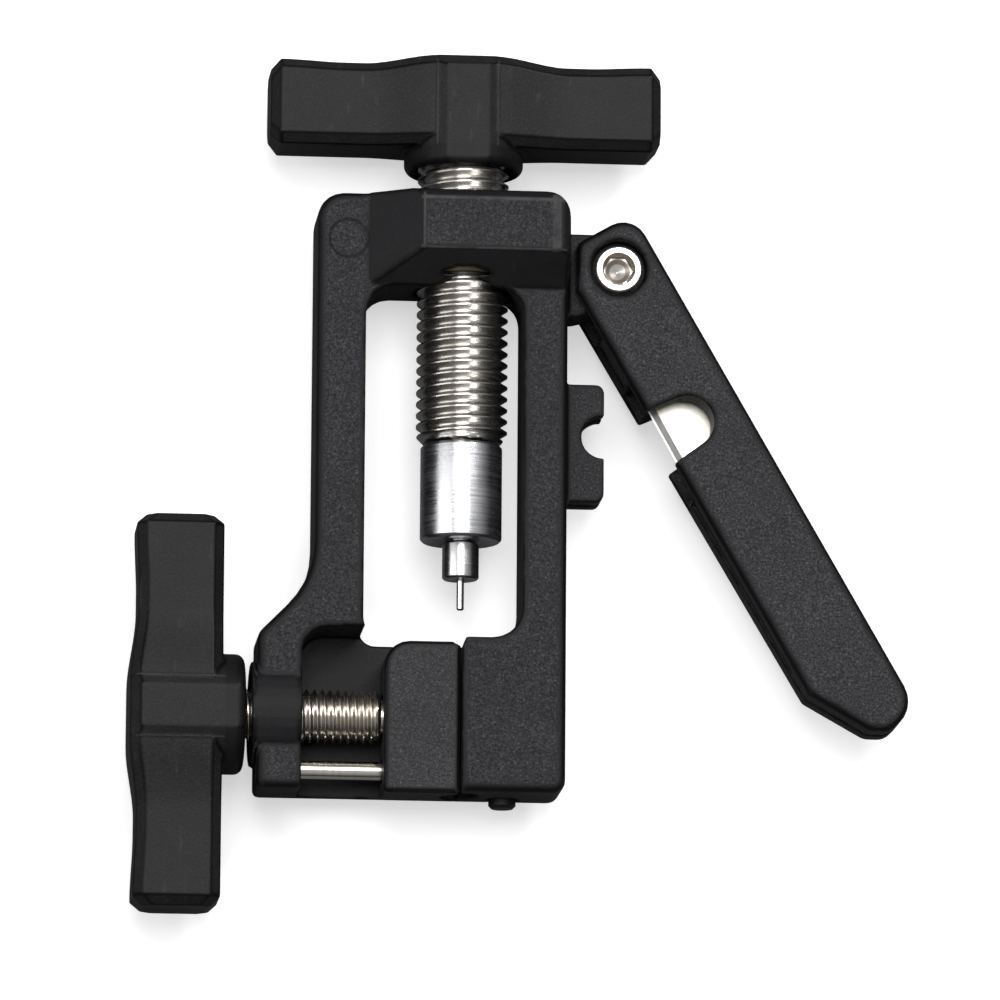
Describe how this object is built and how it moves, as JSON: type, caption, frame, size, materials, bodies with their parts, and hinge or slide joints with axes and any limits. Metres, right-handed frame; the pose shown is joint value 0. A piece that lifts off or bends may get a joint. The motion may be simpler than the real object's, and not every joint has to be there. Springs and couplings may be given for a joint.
{
  "type": "bicycle brake hose cutter and needle driver",
  "caption": "Flat black frame tool: a T-handle screw drives a needle towards a screw-clamped split jaw, and a hinged blade arm cuts hose against a notched anvil.",
  "frame": {"origin": "point under the press screw's axis on the flat back of the boss, which the tool lies on", "axes": "+Z out of the front face, +Y along the press screw towards its handle, +X towards the cutter arm's side"},
  "size_m": [0.1018, 0.1132, 0.0196],
  "materials": {
    "frame_plastic": "fine spark-eroded texture",
    "arm_plastic": "fine spark-eroded texture",
    "jaw_plastic": "fine spark-eroded texture",
    "handle_plastic": "smooth satin",
    "thread_nickel": "nickel-plated thread",
    "barrel_steel": "fine turned",
    "holder_steel": "polished",
    "needle_steel": "polished",
    "pin_steel": "ground and plated",
    "blade_steel": "ground",
    "hardware_steel": "plated satin",
    "bush_brass": "machined",
    "black_screw": "black oxide"
  },
  "bodies": {
    "frame_group": {"frame": "frame_plastic", "press_insert": "bush_brass", "clamp_insert": "bush_brass", "block_screw": "black_screw"},
    "driver": {"driver_barrel": "barrel_steel", "needle_holder": "holder_steel", "needle": "needle_steel"},
    "press": {"press_screw": "thread_nickel", "press_handle": "handle_plastic"},
    "jaw": {"clamp_jaw": "jaw_plastic", "jaw_clip": "hardware_steel", "guide_pin": "pin_steel"},
    "clamp": {"clamp_screw": "thread_nickel", "clamp_handle": "handle_plastic"},
    "arm": {"arm_front": "arm_plastic", "arm_rear": "arm_plastic", "blade": "blade_steel", "pivot_screw": "hardware_steel", "pivot_nut": "hardware_steel", "arm_screw_1": "hardware_steel", "arm_screw_2": "hardware_steel"}
  },
  "joints": [
    {"name": "press_slide", "type": "slide", "parent": "frame_group", "child": "driver", "axis": [0, 1, 0], "range_m": [-0.0036, 0.0195]},
    {"name": "press_turn", "type": "hinge", "parent": "driver", "child": "press", "pos_m": [0, 0, 0.0098], "axis": [0, 1, 0], "range_deg": [-876, 4692]},
    {"name": "clamp_slide", "type": "slide", "parent": "frame_group", "child": "jaw", "axis": [-1, 0, 0], "range_m": [0, 0.01]},
    {"name": "clamp_turn", "type": "hinge", "parent": "jaw", "child": "clamp", "pos_m": [-0.0282, -0.0648, 0.0098], "axis": [-1, 0, 0], "range_deg": [-12, 3612]},
    {"name": "cutter_swing", "type": "hinge", "parent": "frame_group", "child": "arm", "pos_m": [0.0201, -0.0055, 0.0098], "axis": [0, 0, 1], "range_deg": [-30, 60]}
  ],
  "couplings": [
    {"joint": "press_turn", "follows": "press_slide", "rad_per_m": 4188.8},
    {"joint": "clamp_turn", "follows": "clamp_slide", "rad_per_m": 6283.2}
  ]
}
